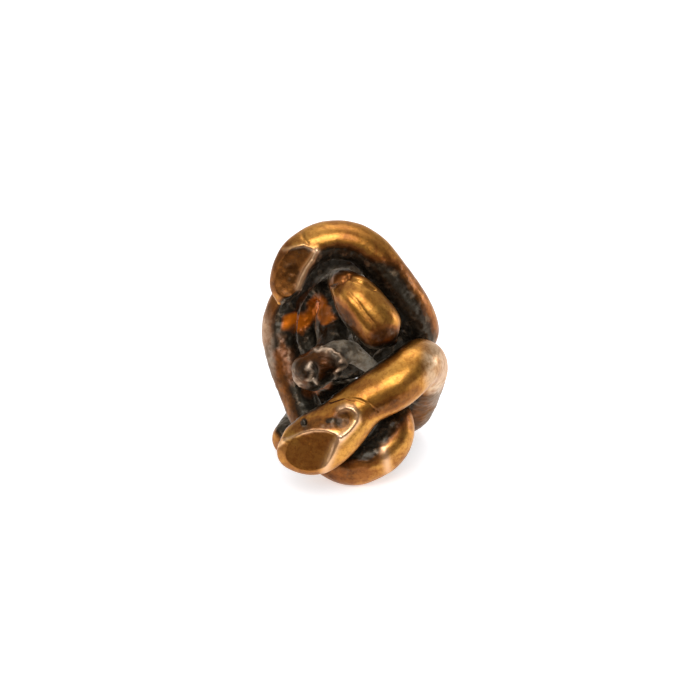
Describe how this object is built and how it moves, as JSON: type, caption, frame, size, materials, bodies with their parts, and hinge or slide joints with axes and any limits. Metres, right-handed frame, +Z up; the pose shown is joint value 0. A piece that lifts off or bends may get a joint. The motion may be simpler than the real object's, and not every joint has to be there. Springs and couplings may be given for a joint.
{
  "type": "metal ring disentanglement puzzle",
  "caption": "Disentanglement puzzle of interlocked cast bronze serpent rings, coiled together into an upright egg-shaped bundle.",
  "frame": {"origin": "middle of the bounding box in X and Y, at the level of the feet", "axes": "+Z up through the coil, +X across it towards the lower serpent's outer bend, +Y away from the heads"},
  "size_m": [0.0271, 0.0315, 0.0362],
  "materials": {
    "golden_bronze": "hand-polished satin with dark patina in the creases",
    "brown_bronze": "satin, browned, with near-black patina on the inner side",
    "dark_bronze": "satin on the proud faces, dull dark patina in between"
  },
  "bodies": {
    "upright_ring": {"upright_serpent_ring": "brown_bronze"},
    "lower_ring": {"lower_serpent_ring": "golden_bronze"},
    "inner_ring": {"inner_serpent_ring": "dark_bronze"}
  },
  "joints": [
    {"name": "lower_ring_swing", "type": "hinge", "parent": "upright_ring", "child": "lower_ring", "pos_m": [-0.0056, -0.0077, 0], "axis": [0, 0, 1], "range_deg": [-60, 0]},
    {"name": "inner_ring_rock", "type": "hinge", "parent": "upright_ring", "child": "inner_ring", "pos_m": [-0.0016, 0, 0.0204], "axis": [0, 1, 0], "range_deg": [-21, 6]}
  ]
}
